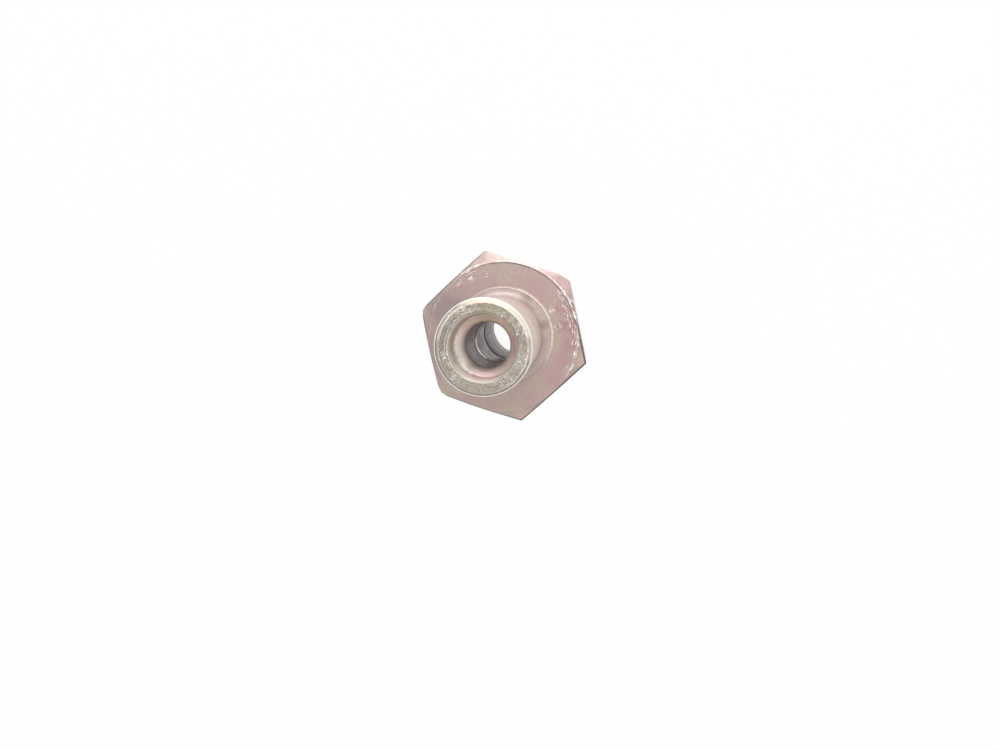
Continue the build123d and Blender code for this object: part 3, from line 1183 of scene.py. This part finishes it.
class NutStage(bpy.types.PropertyGroup):
    """The camera, the lamps and the floor."""

    camera_bearing: angle("Camera bearing", "Side that the camera leans to", 3.56)
    camera_lean: angle("Camera lean", "Lean of the view from straight down the spigot", 8.15)
    camera_roll: angle("Camera roll", "Turn of the camera about its own view", -45.53)
    camera_distance: length("Camera distance", "From the front face to the camera", 85 * MM)
    camera_right: number("Camera right", "Move sideways", -0.2996 * MM, unit="LENGTH")
    camera_up: number("Camera up", "Move upwards in the picture", -4.274 * MM, unit="LENGTH")
    lens: number("Lens", "Focal length in millimetres", 27.37, min=1.0)
    key_bearing: angle("Key bearing", "Side that the large lamp stands on", 42.0)
    key_rise: angle("Key rise", "Height of the large lamp as an angle", 27.0)
    key_size: length("Key size", "Side of the large square lamp", 0.34)
    key_brightness: amount("Key brightness", "Times as bright as white", 3.0, max=20.0)
    top_bearing: angle("Top bearing", "Side that the overhead lamp leans to", -45.0)
    top_rise: angle("Top rise", "Height of the overhead lamp as an angle", 70.0)
    top_size: length("Top size", "Side of the overhead square lamp", 0.22)
    top_brightness: amount("Top brightness", "Times as bright as white", 0.8, max=20.0)
    lamp_distance: length("Lamp distance", "From the nut to each lamp", 0.4)
    sky: amount("Sky", "Brightness of the even light all round", 0.8, max=4.0)
    floor: colour("Floor", "Colour of the floor", 0.9, 0.9, 0.9)
    floor_glow: amount("Floor whiteness", "Share of plain white that the camera sees", 0.96)


class NUT_OT_body(bpy.types.Operator):
    """Turns, mills and taps the nut, and gives it its plated finish"""

    bl_idname = "nut.body"
    bl_label = "Make the nut"

    def execute(self, context):
        skin = shape_nut(context.scene.nut_sizes)
        finish_nut(skin, context.scene.nut_sizes, context.scene.nut_finish)
        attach(skin, "root")
        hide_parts(NODE)
        return {"FINISHED"}


FLOOR_SIZE = 2.0
FLOOR_GAP = 0.02 * MM


def floor_material(stage):
    """White to the camera and in reflections, and still dimmed by the nut's shadow."""
    material = bpy.data.materials.new("floor_white")
    material.use_nodes = True
    tree = material.node_tree
    tree.nodes.clear()
    path = add_node(tree, "ShaderNodeLightPath").outputs
    seen = larger(path["Is Camera Ray"], path["Is Glossy Ray"])
    seen = larger(seen, path["Is Transmission Ray"])
    matt = add_node(tree, "ShaderNodeBsdfDiffuse", {"Color": solid(stage.floor)}).outputs[0]
    glow = add_node(tree, "ShaderNodeEmission", {"Color": WHITE, "Strength": 1.0}).outputs[0]
    share = times(seen, stage.floor_glow)
    top = add_node(tree, "ShaderNodeMixShader", {0: share, 1: matt, 2: glow}).outputs[0]
    add_node(tree, "ShaderNodeOutputMaterial", {"Surface": top})
    return material


def make_floor(stage):
    """A wide level floor, just under the nut's back face."""
    start_piece()
    bpy.ops.mesh.primitive_plane_add(size=FLOOR_SIZE, location=(0, 0, -FLOOR_GAP))
    floor = bpy.context.object
    floor.name = "floor"
    bpy.ops.object.transform_apply(location=True, rotation=True, scale=True)
    floor.data.materials.append(floor_material(stage))


def make_lamp(kind, stage):
    """A square soft lamp that looks at the middle of the nut."""
    parts = ("bearing", "rise", "size", "brightness")
    bearing, rise, size, brightness = (getattr(stage, f"{kind}_{part}") for part in parts)
    lamp = bpy.data.lights.new(f"{kind}_lamp", "AREA")
    lamp.size = size
    lamp.energy = brightness * pi * size**2
    side = Vector((cos(bearing) * cos(rise), sin(bearing) * cos(rise), sin(rise)))
    holder = bpy.data.objects.new(lamp.name, lamp)
    holder.location = side * stage.lamp_distance + Vector((0, 0, NUT_HIGH.z / 2))
    holder.rotation_euler = side.to_track_quat("Z", "Y").to_euler()
    bpy.context.scene.collection.objects.link(holder)


def make_sky(stage):
    """Even light all round, which the camera sees as white."""
    world = bpy.data.worlds.new("studio")
    bpy.context.scene.world = world
    world.use_nodes = True
    tree = world.node_tree
    background = tree.nodes["Background"]
    background.inputs["Color"].default_value = WHITE
    path = add_node(tree, "ShaderNodeLightPath").outputs["Is Camera Ray"]
    strength = scaled(path, 0.0, 1.0, stage.sky, 1.0)
    tree.links.new(strength, background.inputs["Strength"])


def make_camera(stage, size):
    """The camera looks nearly straight down the spigot."""
    lens = bpy.data.cameras.new("camera")
    lens.lens = stage.lens
    lens.clip_start = MM
    camera = bpy.data.objects.new("camera", lens)
    bpy.context.scene.collection.objects.link(camera)
    turn = (
        Matrix.Rotation(stage.camera_bearing, 4, "Z")
        @ Matrix.Rotation(stage.camera_lean, 4, "Y")
        @ Matrix.Rotation(stage.camera_roll, 4, "Z")
    )
    aim = Matrix.Translation((0, 0, size.hex_height))
    away = Matrix.Translation((stage.camera_right, stage.camera_up, stage.camera_distance))
    camera.matrix_world = aim @ turn @ away
    bpy.context.scene.camera = camera


class NUT_OT_stage(bpy.types.Operator):
    """Makes the floor, the lamps, the even light and the camera"""

    bl_idname = "nut.stage"
    bl_label = "Make the stage"

    def execute(self, context):
        stage = context.scene.nut_stage
        make_floor(stage)
        make_lamp("key", stage)
        make_lamp("top", stage)
        make_sky(stage)
        make_camera(stage, context.scene.nut_sizes)
        context.scene.view_settings.view_transform = "Standard"
        return {"FINISHED"}


class NUT_PT_panel(bpy.types.Panel):
    """Everything that makes the nut, in the sidebar of the 3D view"""

    bl_idname = "NUT_PT_panel"
    bl_label = "Retaining nut"
    bl_space_type = "VIEW_3D"
    bl_region_type = "UI"
    bl_category = "Nut"

    def draw(self, context):
        for operator in OPERATORS:
            self.layout.operator(operator.bl_idname)
        for name, group in SETTINGS.items():
            settings = getattr(context.scene, name)
            box = self.layout.box()
            box.label(text=group.__doc__)
            for entry in group.__annotations__:
                box.prop(settings, entry)


SETTINGS = {"nut_sizes": NutSizes, "nut_finish": NutFinish, "nut_stage": NutStage}
OPERATORS = (NUT_OT_body, NUT_OT_stage)
CLASSES = (*SETTINGS.values(), *OPERATORS, NUT_PT_panel)


def register():
    for cls in CLASSES:
        bpy.utils.register_class(cls)
    for name, group in SETTINGS.items():
        setattr(bpy.types.Scene, name, bpy.props.PointerProperty(type=group))


def unregister():
    for name in SETTINGS:
        delattr(bpy.types.Scene, name)
    for cls in reversed(CLASSES):
        bpy.utils.unregister_class(cls)


def main():
    register()
    bpy.ops.nut.body()
    bpy.ops.nut.stage()


if __name__ == "__main__":
    main()
